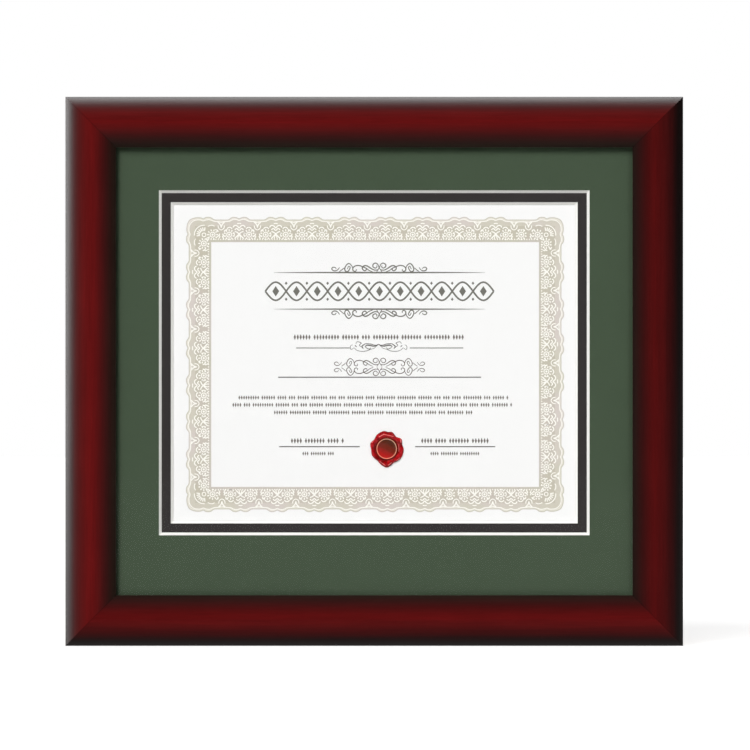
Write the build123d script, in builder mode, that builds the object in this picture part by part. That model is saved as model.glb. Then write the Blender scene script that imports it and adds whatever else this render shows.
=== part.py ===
from build123d import *
import os
from math import cos, sin, tau

# A wall frame for a landscape certificate, in millimetres. Its right side is towards +X, its top
# towards +Z and the wall behind it towards +Y. The origin lies on the wall plane, behind the middle
# of the frame's outline. A rise is a distance in front of the back of the rails, so what stands
# behind the rails has a negative rise. An inset is a distance in from the outline.

# Certificate
certificate_width = 254.0
certificate_height = 203.2
certificate_thickness = 0.25

# Mats: the opening is the bottom mat's, at its front face
opening_width = 241.3
opening_height = 190.5
mat_thickness = 1.6
reveal_width = 7.0
border_width = 25.4
bottom_border_width = 35.5
bevel_angle = 45

# Package behind and in front of the mats
glazing_thickness = 2.0
mount_board_thickness = 1.6
filler_thickness = 3.0
backing_thickness = 2.5
package_clearance = 0.75
backing_recess = 0.3

# Paper pockets at the corners of the certificate
pocket_ply = 0.15
pocket_margin = 1.5
pocket_leg = 14.0

# Linen hinge between the bottom mat and the mount board
hinge_tape_length = 220.0
hinge_tape_leaf = 12.0

# Moulding
face_width = 30.0
crest_inset = 16.0
outer_fall = 10.0
inner_fall = 6.0
lip_thickness = 3.0
rabbet_width = 6.5
outer_edge_rounding = 1.2
sight_edge_rounding = 0.8
back_edge_rounding = 0.6

# V-shaped nails, driven from the back across each mitre
v_nail_wing = 5.0
v_nail_sheet = 0.6
v_nail_depth = 10.0
v_nail_outer_inset = 8.0
v_nail_inner_inset = 16.0

# Wax seal: its outline runs through places given as shares of a turn and of its reach
seal_reach = 10.8
seal_right_of_middle = 7.5
seal_below_middle = 51.2
seal_thickness = 1.6
seal_edge_rounding = 0.5
seal_die_radius = 7.0
seal_die_depth = 0.6
seal_ring_radius = 6.1
seal_ring_width = 0.8
seal_ring_height = 0.3
seal_outline_shares = (
    (0.000, 0.95), (0.042, 0.88), (0.090, 1.00), (0.142, 0.83), (0.205, 0.99), (0.233, 0.92),
    (0.272, 1.00), (0.350, 0.95), (0.400, 0.85), (0.450, 0.97), (0.506, 0.86), (0.567, 0.90),
    (0.645, 0.83), (0.715, 0.98), (0.750, 1.05), (0.783, 0.97), (0.822, 0.85), (0.900, 0.95),
)

# Pan-head wood screws
screw_radius = 1.45
screw_length = 12.0
screw_tip_length = 3.0
screw_head_radius = 2.8
screw_head_height = 1.9
screw_head_rounding = 0.9
cross_recess_length = 3.0
cross_recess_width = 0.7
cross_recess_depth = 1.0

# Turn buttons that hold the backing board in
turn_button_length = 28.0
turn_button_width = 11.0
turn_button_thickness = 1.2
turn_button_edge_rounding = 0.3
turn_button_gap = 0.1
turn_button_running_clearance = 0.05
turn_button_from_rabbet = 8.0
turn_button_spacing = 180.0

# Hangers: a folded strap under a screw, with a wire ring in its curl
hanger_rise_above_middle = 60.0
strap_width = 9.0
strap_thickness = 0.8
strap_length = 10.5
strap_corner_share = 0.4
strap_hole_distance = 6.2
strap_hole_clearance = 0.2
ring_wire_radius = 1.0
ring_running_clearance = 0.05
ring_inner_width = 16.0
ring_inner_depth = 18.0
ring_corner_radius = 3.0

# Rubber pads that stand the lower edge off the wall
bumper_radius = 4.75
bumper_thickness = 3.8
bumper_rounding = 0.7
bumper_inset_from_side = 34.0

# Sizes that follow
top_opening_width = opening_width + 2 * reveal_width
top_opening_height = opening_height + 2 * reveal_width
sight_width = top_opening_width + 2 * border_width
sight_height = top_opening_height + border_width + bottom_border_width
outer_width = sight_width + 2 * face_width
outer_height = sight_height + 2 * face_width
package_width = sight_width + 2 * (rabbet_width - package_clearance)
package_height = sight_height + 2 * (rabbet_width - package_clearance)
window_lift = (bottom_border_width - border_width) / 2
back_land = face_width - rabbet_width

# Rises of the back faces in the package, from the backing board to the glazing
backing_rise = backing_recess
filler_rise = backing_rise + backing_thickness
mount_board_rise = filler_rise + filler_thickness
sheet_rise = mount_board_rise + mount_board_thickness
bottom_mat_rise = sheet_rise + certificate_thickness + pocket_ply
top_mat_rise = bottom_mat_rise + mat_thickness
glazing_rise = top_mat_rise + mat_thickness
ledge_rise = glazing_rise + glazing_thickness
sight_edge_rise = ledge_rise + lip_thickness
crest_rise = sight_edge_rise + inner_fall
side_rise = crest_rise - outer_fall

front = Vector(0, -1, 0)


def facing(rise):
    """The plane that faces the front at this rise: its own x runs along +X and its y along +Z."""
    return Plane.XZ.offset(bumper_thickness + rise)


def spot(x, z, rise, turn=0):
    """The plane of facing(rise) with its origin moved, and turned about its normal in degrees."""
    return Plane(facing(rise).location * Location((x, z, 0), (0, 0, turn)))


def save(part, name):
    part.label = name
    export_step(part, f"parts/{name}.step")


def arc_radius(run, fall):
    """The radius of an arc that is level at one end and has this run and fall."""
    return (run**2 + fall**2) / (2 * fall)


def build_board(rise, thickness):
    with BuildPart() as board:
        with BuildSketch(facing(rise)):
            Rectangle(package_width, package_height)
        extrude(amount=thickness)
    return board.part


def build_mat(rise, window_width, window_height):
    """A board with a window whose bevel widens towards the front."""
    front_rise = rise + mat_thickness
    with BuildPart() as mat:
        add(build_board(rise, mat_thickness))
        with BuildSketch(facing(front_rise)):
            with Locations((0, window_lift)):
                Rectangle(window_width, window_height)
        extrude(amount=-mat_thickness, taper=bevel_angle, mode=Mode.SUBTRACT)
    return mat.part


def build_screw():
    """One screw: its head's seat at the origin, its shank along +Z and its head below."""
    with BuildPart() as screw:
        with BuildSketch(Plane.XZ) as half:
            with BuildLine():
                Polyline(
                    (0, -screw_head_height),
                    (screw_head_radius, -screw_head_height),
                    (screw_head_radius, 0),
                    (screw_radius, 0),
                    (screw_radius, screw_length - screw_tip_length),
                    (0, screw_length),
                    close=True,
                )
            make_face()
            rim = half.vertices().group_by(Axis.X)[-1].sort_by(Axis.Y)[0]
            fillet(rim, radius=screw_head_rounding)
        revolve(axis=Axis.Z)
        with BuildSketch(Plane.XY.offset(-screw_head_height)):
            Rectangle(cross_recess_length, cross_recess_width)
            Rectangle(cross_recess_width, cross_recess_length)
        extrude(amount=cross_recess_depth, mode=Mode.SUBTRACT)
    return screw.part


def build_rail(outward, edge_distance, length, driven):
    """One length of moulding, mitred at both ends, with the bite of what is driven into it."""
    inward = outward * -1
    along = inward.cross(front)
    edge = outward * edge_distance + front * bumper_thickness
    with BuildPart() as rail:
        with BuildSketch(Plane(origin=edge, x_dir=inward, z_dir=along)) as section:
            with BuildLine():
                outer = RadiusArc(
                    (0, side_rise), (crest_inset, crest_rise), arc_radius(crest_inset, outer_fall)
                )
                inner = RadiusArc(
                    outer @ 1,
                    (face_width, sight_edge_rise),
                    arc_radius(face_width - crest_inset, inner_fall),
                )
                Polyline(
                    inner @ 1,
                    (face_width, ledge_rise),
                    (back_land, ledge_rise),
                    (back_land, 0),
                    (0, 0),
                    outer @ 0,
                )
            make_face()
            outer_corners = section.vertices().group_by(Axis.X)[0].sort_by(Axis.Y)
            sight_corners = section.vertices().group_by(Axis.X)[-1].sort_by(Axis.Y)
            fillet(outer_corners[-1], radius=outer_edge_rounding)
            fillet(outer_corners[0], radius=back_edge_rounding)
            fillet(sight_corners[-1], radius=sight_edge_rounding)
        extrude(amount=length / 2, both=True)
        for end in (-1, 1):
            mitre = Plane(origin=edge + along * (end * length / 2), z_dir=along * end + inward)
            split(bisect_by=mitre, keep=Keep.BOTTOM)
        for piece in driven:
            add(piece, mode=Mode.SUBTRACT)
    return rail.part


def build_turn_button(x, z, turn):
    """A flat bar with round ends, turned so that it points over the backing board."""
    with BuildPart() as button:
        with BuildSketch(spot(x, z, -turn_button_gap, turn)):
            with Locations(((turn_button_length - turn_button_width) / 2, 0)):
                SlotOverall(turn_button_length, turn_button_width)
            Circle(screw_radius + turn_button_running_clearance, mode=Mode.SUBTRACT)
        extrude(amount=-turn_button_thickness)
        rims = button.faces().sort_by(Axis.Y)[-1].outer_wire().edges()
        fillet(rims, radius=turn_button_edge_rounding)
    return button.part


def build_strap(x):
    """A strap bent from sheet, with a curl at its upper end that holds the ring's bar."""
    side_view = Plane(
        origin=(x, -bumper_thickness, hanger_rise_above_middle), x_dir=(0, 1, 0), z_dir=(1, 0, 0)
    )
    with BuildPart() as strap:
        with BuildSketch(side_view):
            with Locations((strap_thickness / 2, -strap_length / 2)):
                Rectangle(strap_thickness, strap_length)
            with Locations((curl_radius, 0)):
                Circle(curl_radius)
                Circle(curl_radius - strap_thickness, mode=Mode.SUBTRACT)
        extrude(amount=strap_width / 2, both=True)
        tip_corners = strap.edges().filter_by(Axis.Y).group_by(Axis.Z)[0]
        fillet(tip_corners, radius=strap_corner_share * strap_width)
        with Locations(spot(x, hanger_screw_z, 0)):
            Hole(screw_radius + strap_hole_clearance)
    return strap.part


def build_ring(x):
    """A ring of wire with a straight bar, level legs and a round end, hanging from its bar."""
    half_width = ring_inner_width / 2 + ring_wire_radius
    leg = ring_inner_depth + ring_wire_radius - half_width
    with BuildPart() as ring:
        with BuildLine(spot(x, hanger_rise_above_middle, -curl_radius)) as path:
            bar = FilletPolyline(
                (-half_width, -leg),
                (-half_width, 0),
                (half_width, 0),
                (half_width, -leg),
                radius=ring_corner_radius,
            )
            ThreePointArc(bar @ 1, (0, -leg - half_width), bar @ 0)
        with BuildSketch(Plane(origin=path.line @ 0, z_dir=path.line % 0)):
            Circle(ring_wire_radius)
        sweep()
    return ring.part


os.makedirs("parts", exist_ok=True)

# Boards, glazing and the paper
glazing = build_board(glazing_rise, glazing_thickness)
top_mat = build_mat(top_mat_rise, top_opening_width, top_opening_height)
bottom_mat = build_mat(bottom_mat_rise, opening_width, opening_height)
mount_board = build_board(mount_board_rise, mount_board_thickness)
filler_board = build_board(filler_rise, filler_thickness)
backing_board = build_board(backing_rise, backing_thickness)

with BuildPart() as certificate_sheet:
    with BuildSketch(spot(0, window_lift, sheet_rise)):
        Rectangle(certificate_width, certificate_height)
    extrude(amount=certificate_thickness)

save(glazing, "glazing")
save(top_mat, "top_mat")
save(bottom_mat, "bottom_mat")
save(certificate_sheet.part, "certificate_sheet")
save(mount_board, "mount_board")
save(filler_board, "filler_board")
save(backing_board, "backing_board")

# Four paper pockets: a triangle over each corner of the certificate, with a rim outside its edges
pocket_x = certificate_width / 2 + pocket_margin
pocket_z = certificate_height / 2 + pocket_margin
with BuildPart() as mounting_corners:
    with BuildSketch(spot(0, window_lift, sheet_rise)):
        for side in (-1, 1):
            for end in (-1, 1):
                with BuildLine():
                    Polyline(
                        (side * pocket_x, end * pocket_z),
                        (side * (pocket_x - pocket_leg), end * pocket_z),
                        (side * pocket_x, end * (pocket_z - pocket_leg)),
                        close=True,
                    )
                make_face()
    extrude(amount=certificate_thickness + pocket_ply)
    add(certificate_sheet.part, mode=Mode.SUBTRACT)
save(mounting_corners.part, "mounting_corners")

# Linen tape, folded along the upper edges of the bottom mat and the mount board
with BuildPart() as hinge_tape:
    with BuildSketch(spot(0, (package_height - hinge_tape_leaf) / 2, sheet_rise)):
        Rectangle(hinge_tape_length, hinge_tape_leaf)
    extrude(amount=certificate_thickness + pocket_ply)
save(hinge_tape.part, "hinge_tape")

# Wax seal: a poured pad with a sunk die mark and a ring in it
seal_z = window_lift - seal_below_middle
seal_rise = sheet_rise + certificate_thickness
seal_floor_rise = seal_rise + seal_thickness - seal_die_depth
with BuildPart() as wax_seal:
    with BuildSketch(spot(seal_right_of_middle, seal_z, seal_rise)):
        with BuildLine():
            Spline(
                *[
                    (seal_reach * reach * cos(tau * turn), seal_reach * reach * sin(tau * turn))
                    for turn, reach in seal_outline_shares
                ],
                periodic=True,
            )
        make_face()
    extrude(amount=seal_thickness)
    fillet(wax_seal.faces().sort_by(Axis.Y)[0].outer_wire().edges(), radius=seal_edge_rounding)
    with BuildSketch(spot(seal_right_of_middle, seal_z, seal_rise + seal_thickness)):
        Circle(seal_die_radius)
    extrude(amount=-seal_die_depth, mode=Mode.SUBTRACT)
    with BuildSketch(spot(seal_right_of_middle, seal_z, seal_floor_rise)):
        Circle(seal_ring_radius + seal_ring_width / 2)
        Circle(seal_ring_radius - seal_ring_width / 2, mode=Mode.SUBTRACT)
    extrude(amount=seal_ring_height)
save(wax_seal.part, "wax_seal")

# V-shaped nails: two at each corner, with one wing in each rail, flush with the back
with BuildPart() as corner_v_nails:
    with BuildSketch(facing(0)):
        for side in (-1, 1):
            for end in (-1, 1):
                for inset in (v_nail_outer_inset, v_nail_inner_inset):
                    apex_x = outer_width / 2 - inset
                    apex_z = outer_height / 2 - inset
                    with BuildLine() as wings:
                        Polyline(
                            (side * (apex_x + v_nail_wing), end * apex_z),
                            (side * apex_x, end * apex_z),
                            (side * apex_x, end * (apex_z + v_nail_wing)),
                        )
                    trace(wings.line, line_width=v_nail_sheet)
    extrude(amount=v_nail_depth)
save(corner_v_nails.part, "corner_v_nails")

# Turn buttons and their screws
button_inset = back_land - turn_button_from_rabbet
button_x = outer_width / 2 - button_inset
button_z = outer_height / 2 - button_inset
button_places = {
    "turn_button_top_left": (-turn_button_spacing / 2, button_z, -90),
    "turn_button_top_right": (turn_button_spacing / 2, button_z, -90),
    "turn_button_left": (-button_x, 0, 0),
    "turn_button_right": (button_x, 0, 180),
    "turn_button_bottom_left": (-turn_button_spacing / 2, -button_z, 90),
    "turn_button_bottom_right": (turn_button_spacing / 2, -button_z, 90),
}
for name, (x, z, turn) in button_places.items():
    save(build_turn_button(x, z, turn), name)

one_screw = build_screw()
button_seat_rise = -(2 * turn_button_gap + turn_button_thickness)
with BuildPart() as turn_button_screws:
    with Locations(*[spot(x, z, button_seat_rise) for x, z, turn in button_places.values()]):
        add(one_screw)
save(turn_button_screws.part, "turn_button_screws")

# Hangers on the side rails
curl_radius = ring_wire_radius + ring_running_clearance + strap_thickness
hanger_x = (outer_width - back_land) / 2
hanger_screw_z = hanger_rise_above_middle - strap_hole_distance
for side, word in ((-1, "left"), (1, "right")):
    save(build_strap(side * hanger_x), f"hanger_strap_{word}")
    save(build_ring(side * hanger_x), f"d_ring_{word}")

with BuildPart() as hanger_screws:
    with Locations(*[spot(side * hanger_x, hanger_screw_z, -strap_thickness) for side in (-1, 1)]):
        add(one_screw)
save(hanger_screws.part, "hanger_screws")

# Rubber pads near the lower corners
bumper_x = outer_width / 2 - bumper_inset_from_side
bumper_z = -(outer_height - back_land) / 2
with BuildPart() as wall_bumpers:
    with BuildSketch(facing(0)):
        with Locations((-bumper_x, bumper_z), (bumper_x, bumper_z)):
            Circle(bumper_radius)
    extrude(amount=-bumper_thickness)
    fillet(wall_bumpers.edges().group_by(Axis.Y)[-1], radius=bumper_rounding)
save(wall_bumpers.part, "wall_bumpers")

# Rails of the moulding
driven = (corner_v_nails.part, turn_button_screws.part, hanger_screws.part)
upward = Vector(0, 0, 1)
rightward = Vector(1, 0, 0)
save(build_rail(upward, outer_height / 2, outer_width, driven), "rail_top")
save(build_rail(upward * -1, outer_height / 2, outer_width, driven), "rail_bottom")
save(build_rail(rightward * -1, outer_width / 2, outer_height, driven), "rail_left")
save(build_rail(rightward, outer_width / 2, outer_height, driven), "rail_right")
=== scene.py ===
import math
import random

import bpy
import numpy as np
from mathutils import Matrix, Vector


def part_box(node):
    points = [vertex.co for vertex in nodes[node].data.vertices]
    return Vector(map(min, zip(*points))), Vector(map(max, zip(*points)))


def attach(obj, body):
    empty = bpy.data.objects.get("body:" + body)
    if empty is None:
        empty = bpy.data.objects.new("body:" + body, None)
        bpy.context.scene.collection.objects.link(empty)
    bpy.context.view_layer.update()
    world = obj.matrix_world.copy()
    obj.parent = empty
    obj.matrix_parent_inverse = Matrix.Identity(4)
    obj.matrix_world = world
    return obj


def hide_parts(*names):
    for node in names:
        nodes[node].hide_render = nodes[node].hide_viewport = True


# The looks of a framed certificate. Lengths are in metres, in the frame's own axes: +X right, +Z
# up, the wall towards +Y, so a piece in front of another has the smaller y. Places on the
# certificate are in millimetres from the middle of the frame's outline, and mm turns them into
# metres.

mm = 0.001
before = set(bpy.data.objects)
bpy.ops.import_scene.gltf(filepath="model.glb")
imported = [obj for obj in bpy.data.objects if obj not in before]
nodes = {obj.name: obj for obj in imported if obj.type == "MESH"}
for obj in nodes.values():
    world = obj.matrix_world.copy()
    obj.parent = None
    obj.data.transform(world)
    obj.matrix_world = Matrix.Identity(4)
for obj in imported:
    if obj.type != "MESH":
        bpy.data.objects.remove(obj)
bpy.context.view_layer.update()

half_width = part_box("rail_right")[1].x
half_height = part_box("rail_top")[1].z
face_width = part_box("rail_left")[1].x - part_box("rail_left")[0].x
outline_front = -15.8 * mm
lip_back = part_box("glazing")[0].y
sheet_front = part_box("certificate_sheet")[0].y


# Camera, floor and light

photo_width = 444.5 * mm
camera_lens = 320.0
camera_sensor = 36.0
view_right_of_middle = 0.46 * mm
view_below_middle = 2.19 * mm

key_direction = (-0.30, -0.784, 0.543)
key_strength = 2.52
key_angle = math.radians(30)
back_direction = (0.35, 0.80, 0.49)
back_strength = 1.2
back_angle = math.radians(40)
ambient = 0.28
panel_power = 52.0
panel_size = 1.05
floor_tone = (0.6, 0.6, 0.6, 1)
floor_glow = 0.62
floor_gap = 0.1 * mm
floor_corners = ((-9, -9), (9, -9), (9, 9), (-9, 9))
panel_places = {"left_side": (-1.37, 0.53, 0.25), "top_side": (-0.1, 0.53, 1.37)}
card_corners = {
    "front_card": ((-7, -6, -7), (7, -6, -7), (7, -6, 7), (-7, -6, 7)),
    "right_card": ((2, -6, -3), (2, 8, -3), (2, 8, 3), (2, -6, 3)),
}


def new_object(name, data):
    made = bpy.data.objects.new(name, data)
    bpy.context.scene.collection.objects.link(made)
    return made


def new_shape(name, points, faces, material):
    mesh = bpy.data.meshes.new(name)
    mesh.from_pydata(points, [], faces)
    mesh.validate()
    mesh.materials.append(material)
    return new_object(name, mesh)


def set_camera():
    """Looks straight at the frame through a long lens, framed as in the photograph."""
    bpy.context.scene.view_settings.view_transform = "Standard"
    data = bpy.data.cameras.new("camera")
    data.lens = camera_lens
    data.sensor_width = camera_sensor
    data.clip_end = 30.0
    camera = new_object("camera", data)
    distance = photo_width * camera_lens / camera_sensor
    camera.location = (view_right_of_middle, outline_front - distance, -view_below_middle)
    camera.rotation_euler = (math.radians(90), 0, 0)
    bpy.context.scene.camera = camera


def hang_lamp(name, data, towards):
    """A lamp that shines on the frame's middle from the direction given."""
    lamp = new_object(name, data)
    lamp.rotation_mode = "QUATERNION"
    lamp.rotation_quaternion = Vector(towards).to_track_quat("Z", "Y")
    return lamp


def add_sun(name, towards, strength, angle, sheen):
    """A soft lamp far away, so that it lights the floor evenly. Without sheen it draws no
    highlight."""
    data = bpy.data.lights.new(name, "SUN")
    data.energy = strength
    data.angle = angle
    hang_lamp(name, data, towards).visible_glossy = sheen


def add_panel(name, place):
    """A soft box that faces the frame's middle, and only draws a sheen on lacquer and metal."""
    data = bpy.data.lights.new(name, "AREA")
    data.shape = "SQUARE"
    data.size = panel_size
    data.energy = panel_power
    lamp = hang_lamp(name, data, place)
    lamp.visible_diffuse = False
    lamp.location = place


def add_stage_sheet(name, corners, material):
    """A flat sheet for the studio: the floor or a card."""
    sheet = new_shape(name, corners, [(0, 1, 2, 3)], material)
    return sheet


def add_card(name, corners):
    """A black card outside the picture, which only reflections see, so that the lacquer keeps its
    depth towards it."""
    black = Shader(name).finish((0, 0, 0, 1), None, **{"Specular IOR Level": 0.0})
    card = add_stage_sheet(name, corners, black)
    card.visible_camera = False
    card.visible_diffuse = False
    card.visible_transmission = False
    card.visible_shadow = False


def background_rays(tree):
    """1 for a ray that shows the background: one from the camera, a reflection or a clear sheet."""
    path = tree.nodes.new("ShaderNodeLightPath")
    total = path.outputs["Is Camera Ray"]
    for kind in ("Is Glossy Ray", "Is Transmission Ray"):
        join = tree.nodes.new("ShaderNodeMath")
        join.operation = "ADD"
        join.use_clamp = True
        tree.links.new(total, join.inputs[0])
        tree.links.new(path.outputs[kind], join.inputs[1])
        total = join.outputs[0]
    return total


def set_world():
    """Even light from all round, with a white background behind it."""
    world = bpy.data.worlds.new("studio")
    world.use_nodes = True
    bpy.context.scene.world = world
    tree = world.node_tree
    strength = tree.nodes.new("ShaderNodeMapRange")
    tree.links.new(background_rays(tree), strength.inputs["Value"])
    strength.inputs["To Min"].default_value = ambient
    strength.inputs["To Max"].default_value = 1.0
    background = tree.nodes["Background"]
    background.inputs["Color"].default_value = (1, 1, 1, 1)
    tree.links.new(strength.outputs["Result"], background.inputs["Strength"])


def add_floor():
    """A plain pale floor just under the frame, which keeps the frame's shadow."""
    shader = Shader("floor_paper")
    matt = shader.add("ShaderNodeBsdfDiffuse", {"Color": floor_tone})
    strength = shader.maths("MULTIPLY", background_rays(shader.tree), floor_glow)
    glow = shader.add("ShaderNodeEmission", {"Strength": strength})
    material = shader.end_with(shader.add("ShaderNodeAddShader", {0: matt, 1: glow}))
    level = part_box("rail_bottom")[0].z - floor_gap
    add_stage_sheet("floor", [(x, y, level) for x, y in floor_corners], material)


# Materials

wave_scale = math.pi / 10
matt_ior = 1.12
lacquer_ior = 1.155
streak_stretch = 28.0
toning_drift = 0.07
mitre_line = (0.10 * mm, 0.40 * mm)
mitre_shade = 0.62
sight_shade_width = 4.2 * mm


def screen(red, green, blue):
    """A colour as a screen shows it, from 0 to 255, in the shader's linear numbers."""
    def linear(value):
        share = value / 255
        return share / 12.92 if share <= 0.04045 else ((share + 0.055) / 1.055) ** 2.4
    return (linear(red), linear(green), linear(blue), 1.0)


class Shader:
    """The nodes of one material. Most methods add a node and return its output."""

    def __init__(self, name):
        self.material = bpy.data.materials.new(name)
        self.material.use_nodes = True
        self.tree = self.material.node_tree
        self.surface = self.tree.nodes["Principled BSDF"]
        self.place = self.add("ShaderNodeTexCoord", {}, "Object")

    def connect(self, node, inputs):
        """Gives a node's inputs their values or links. One that is None keeps its default."""
        for socket, value in inputs.items():
            if isinstance(value, bpy.types.NodeSocket):
                self.tree.links.new(value, node.inputs[socket])
            elif value is not None:
                node.inputs[socket].default_value = value

    def add(self, kind, inputs, output=0, **settings):
        made = self.tree.nodes.new(kind)
        for key, value in settings.items():
            setattr(made, key, value)
        self.connect(made, inputs)
        return made.outputs[output]

    def maths(self, operation, first, second=0.0, clamp=False):
        return self.add("ShaderNodeMath", {0: first, 1: second}, operation=operation, use_clamp=clamp)

    def mean(self, first, second):
        return self.maths("MULTIPLY", self.maths("ADD", first, second), 0.5)

    def plus(self, base, value, factor):
        """A base plus so many times a value."""
        return self.maths("ADD", self.maths("MULTIPLY", value, factor), base)

    def part(self, vector, name):
        """A vector's reach along one axis."""
        return self.add("ShaderNodeSeparateXYZ", {0: vector}, name)

    def axis(self, name):
        """How far a point lies along one axis."""
        return self.part(self.place, name)

    def inset(self, name, half):
        """How far a point lies in from the frame's outline, along one axis."""
        return self.maths("SUBTRACT", half, self.maths("ABSOLUTE", self.axis(name)))

    def facing(self, name):
        """How much a surface faces along one axis, from -1 to 1."""
        return self.part(self.add("ShaderNodeNewGeometry", {}, "True Normal"), name)

    def step(self, value, low, high):
        """0 below low, 1 above high and a smooth change between."""
        return self.add("ShaderNodeMapRange", {"Value": value, "From Min": low, "From Max": high},
                        interpolation_type="SMOOTHSTEP")

    def to_line(self, place, start, end):
        """How far a place lies from the line between two points."""
        along = end - start
        away = self.add("ShaderNodeVectorMath", {0: place, 1: start}, operation="SUBTRACT")
        share = self.add("ShaderNodeVectorMath", {0: away, 1: along}, 1, operation="DOT_PRODUCT")
        share = self.maths("DIVIDE", share, along.length_squared, clamp=True)
        foot = self.add("ShaderNodeVectorMath", {0: along, 3: share}, operation="SCALE")
        return self.add("ShaderNodeVectorMath", {0: away, 1: foot}, 1, operation="DISTANCE")

    def noise(self, size, detail=2.0, stretch=(1, 1, 1), shift=0.0):
        """Soft noise whose spots are about size across, drawn out by the factors in stretch."""
        placed = self.add("ShaderNodeMapping", {
            "Vector": self.place, "Location": (shift,) * 3,
            "Scale": tuple(1 / factor for factor in stretch)})
        return self.add("ShaderNodeTexNoise", {"Vector": placed, "Scale": 1 / size, "Detail": detail})

    def cells(self, size):
        """Rounded cells about size across, each with a colour of its own."""
        return self.add("ShaderNodeTexVoronoi", {"Vector": self.place, "Scale": 1 / size}, "Color")

    def waves(self, size, axis):
        """Parallel bands, size from one to the next, across an axis."""
        return self.add("ShaderNodeTexWave", {"Vector": self.place, "Scale": wave_scale / size},
                        "Fac", bands_direction=axis)

    def ramp(self, share, stops, between="LINEAR"):
        """A colour for each share from 0 to 1, with stops of (share, colour)."""
        output = self.add("ShaderNodeValToRGB", {"Fac": share}, "Color")
        ramp = output.node.color_ramp
        ramp.interpolation = between
        while len(ramp.elements) < len(stops):
            ramp.elements.new(1.0)
        for element, (position, colour) in zip(ramp.elements, stops):
            element.position = position
            element.color = colour
        return output

    def mix(self, share, first, second, blend="MIX"):
        return self.add("ShaderNodeMix", {0: share, 6: first, 7: second}, 2, data_type="RGBA",
                        blend_type=blend)

    def vary(self, colour, share, least, most):
        """The colour made darker or lighter, by a factor from least to most."""
        factor = self.add("ShaderNodeMapRange", {"Value": share, "To Min": least, "To Max": most})
        grey = self.add("ShaderNodeCombineColor", {0: factor, 1: factor, 2: factor})
        return self.mix(1.0, colour, grey, "MULTIPLY")

    def bump(self, height, depth):
        """Small relief, depth from its low to its high places."""
        return self.add("ShaderNodeBump", {"Height": height, "Distance": depth, "Strength": 1.0})

    def finish(self, colour, roughness, normal=None, **sockets):
        """Connects the surface and returns the material."""
        self.connect(self.surface, {"Base Color": colour, "Roughness": roughness,
                                    "Normal": normal, **sockets})
        return self.material

    def end_with(self, output):
        """Takes another shader as the whole surface and returns the material."""
        self.tree.nodes.remove(self.surface)
        self.tree.links.new(output, self.tree.nodes["Material Output"].inputs["Surface"])
        return self.material


wood_tones = (
    (0.00, (0.0085, 0.0040, 0.0035, 1)),
    (0.08, (0.0140, 0.0045, 0.0040, 1)),
    (0.18, (0.0480, 0.0045, 0.0045, 1)),
    (0.32, (0.0900, 0.0055, 0.0055, 1)),
    (0.52, (0.1260, 0.0040, 0.0042, 1)),
    (0.66, (0.0770, 0.0048, 0.0048, 1)),
    (0.78, (0.0410, 0.0050, 0.0048, 1)),
    (0.90, (0.0190, 0.0070, 0.0050, 1)),
    (1.00, (0.0160, 0.0100, 0.0065, 1)),
)
side_stain = (0.045, 0.0095, 0.0075, 1)
white_core = (0.93, 0.92, 0.89, 1)
bare_wood_tones = (
    (0.34, screen(170, 130, 88)),
    (0.50, screen(196, 159, 115)),
    (0.64, screen(214, 182, 140)),
)


def mahogany(name, lengthwise, seed, level, inward):
    """Red stain and satin lacquer, toned almost black along both edges of the face, with fine
    streaks along the rail. The red lies further in by a share of the face, and the level darkens or
    lightens the whole rail as painted shade. The back and the rabbet are bare wood."""
    shader = Shader(name)
    inset_x = shader.inset("X", half_width)
    inset_z = shader.inset("Z", half_height)
    inset = shader.maths("MINIMUM", inset_x, inset_z)
    long_streaks = tuple(streak_stretch if axis == lengthwise else 1.0 for axis in "XYZ")
    broad = shader.noise(4.5 * mm, 3.0, long_streaks, seed)
    fine = shader.noise(0.8 * mm, 4.0, long_streaks, seed + 3.1)
    cloud = shader.noise(38 * mm, shift=seed + 7.7)
    share = shader.maths("DIVIDE", inset, face_width)
    share = shader.plus(share, shader.maths("SUBTRACT", broad, 0.5), toning_drift)
    share = shader.maths("SUBTRACT", share, inward)
    colour = shader.ramp(share, wood_tones, "B_SPLINE")
    # Painted shade: level scales the rail's colour by how the light falls on it.
    colour = shader.vary(colour, broad, 0.74 * level, 1.26 * level)
    colour = shader.vary(colour, fine, 0.76, 1.24)
    colour = shader.vary(colour, cloud, 0.86, 1.14)
    across_joint = shader.maths("ABSOLUTE", shader.maths("SUBTRACT", inset_x, inset_z))
    colour = shader.vary(colour, shader.step(across_joint, *mitre_line), mitre_shade, 1.0)
    rings = shader.noise(6 * mm, 2.0, long_streaks, seed + 12.0)
    lines = shader.noise(0.5 * mm, 4.0, tuple(2 * factor for factor in long_streaks), seed + 15.0)
    grain = shader.ramp(shader.mean(rings, lines), bare_wood_tones)
    behind = shader.step(shader.facing("Y"), 0.25, 0.45)
    inside = shader.maths("MULTIPLY", shader.maths("GREATER_THAN", shader.axis("Y"), lip_back),
                          shader.maths("GREATER_THAN", inset, face_width / 2))
    bare = shader.maths("MAXIMUM", behind, inside)
    outward = shader.maths("MAXIMUM", shader.maths("ABSOLUTE", shader.facing("X")),
                           shader.maths("ABSOLUTE", shader.facing("Z")))
    side_tone = shader.vary(side_stain, shader.mean(broad, fine), 0.3, 1.7)
    colour = shader.mix(shader.step(outward, 0.93, 0.99), colour, side_tone)
    colour = shader.mix(bare, colour, grain)
    rough = shader.plus(shader.plus(0.40, fine, 0.12), bare, 0.35)
    return shader.finish(colour, rough, shader.bump(fine, 0.02 * mm), IOR=lacquer_ior)


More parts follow.
